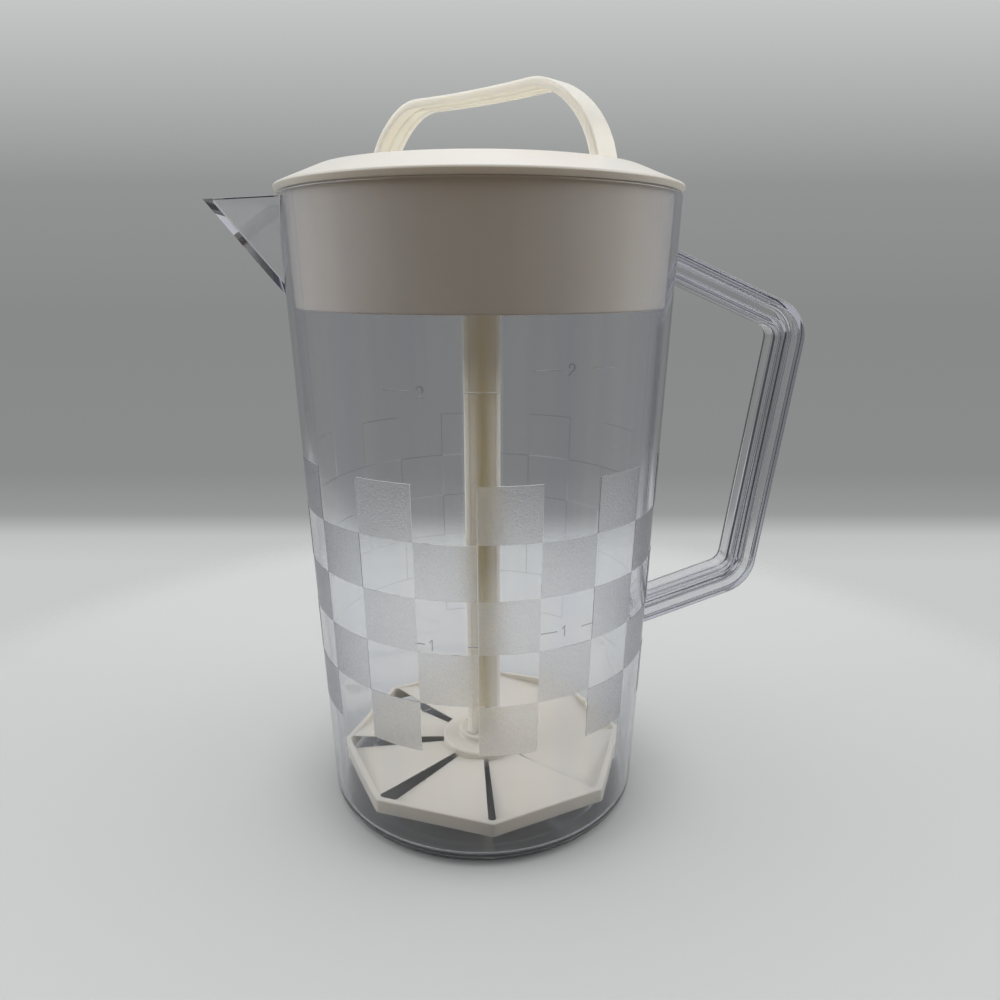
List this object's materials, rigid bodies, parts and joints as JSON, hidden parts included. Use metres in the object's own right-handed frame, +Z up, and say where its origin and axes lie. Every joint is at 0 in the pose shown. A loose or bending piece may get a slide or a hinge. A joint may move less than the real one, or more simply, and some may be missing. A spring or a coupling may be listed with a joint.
{
  "type": "stirring pitcher",
  "caption": "Clear tapered pitcher with a pointed spout, an angular side handle, a skirted white lid and an arched hand plunger that drives a bladed mixing plate.",
  "frame": {"origin": "middle of the bounding box in plan, on the table under the foot; the body's upright axis is at x = -0.01488 m", "axes": "+Z up along the body's axis, +X towards the side handle, -X towards the spout, -Y the front with the quart marks on its left and the litre marks on its right"},
  "size_m": [0.2128, 0.1374, 0.2572],
  "materials": {
    "clear_wall": "clear, polished, with fine frosted checks on the lower wall",
    "clear_handle": "clear, polished, faint lavender tint",
    "white_lid": "smooth satin moulding",
    "cream_plunger": "smooth satin moulding"
  },
  "bodies": {
    "pitcher": {"pitcher_body": "clear_wall", "body_handle": "clear_handle"},
    "lid": {"lid": "white_lid"},
    "plunger": {"plunger_handle": "cream_plunger", "plunger_shaft": "cream_plunger", "mixing_plate": "cream_plunger"}
  },
  "joints": [
    {"name": "lid_lift", "type": "slide", "parent": "pitcher", "child": "lid", "axis": [0, 0, 1], "range_m": [0, 0.24]},
    {"name": "plunger_stroke", "type": "slide", "parent": "lid", "child": "plunger", "axis": [0, 0, 1], "range_m": [0, 0.19]}
  ]
}
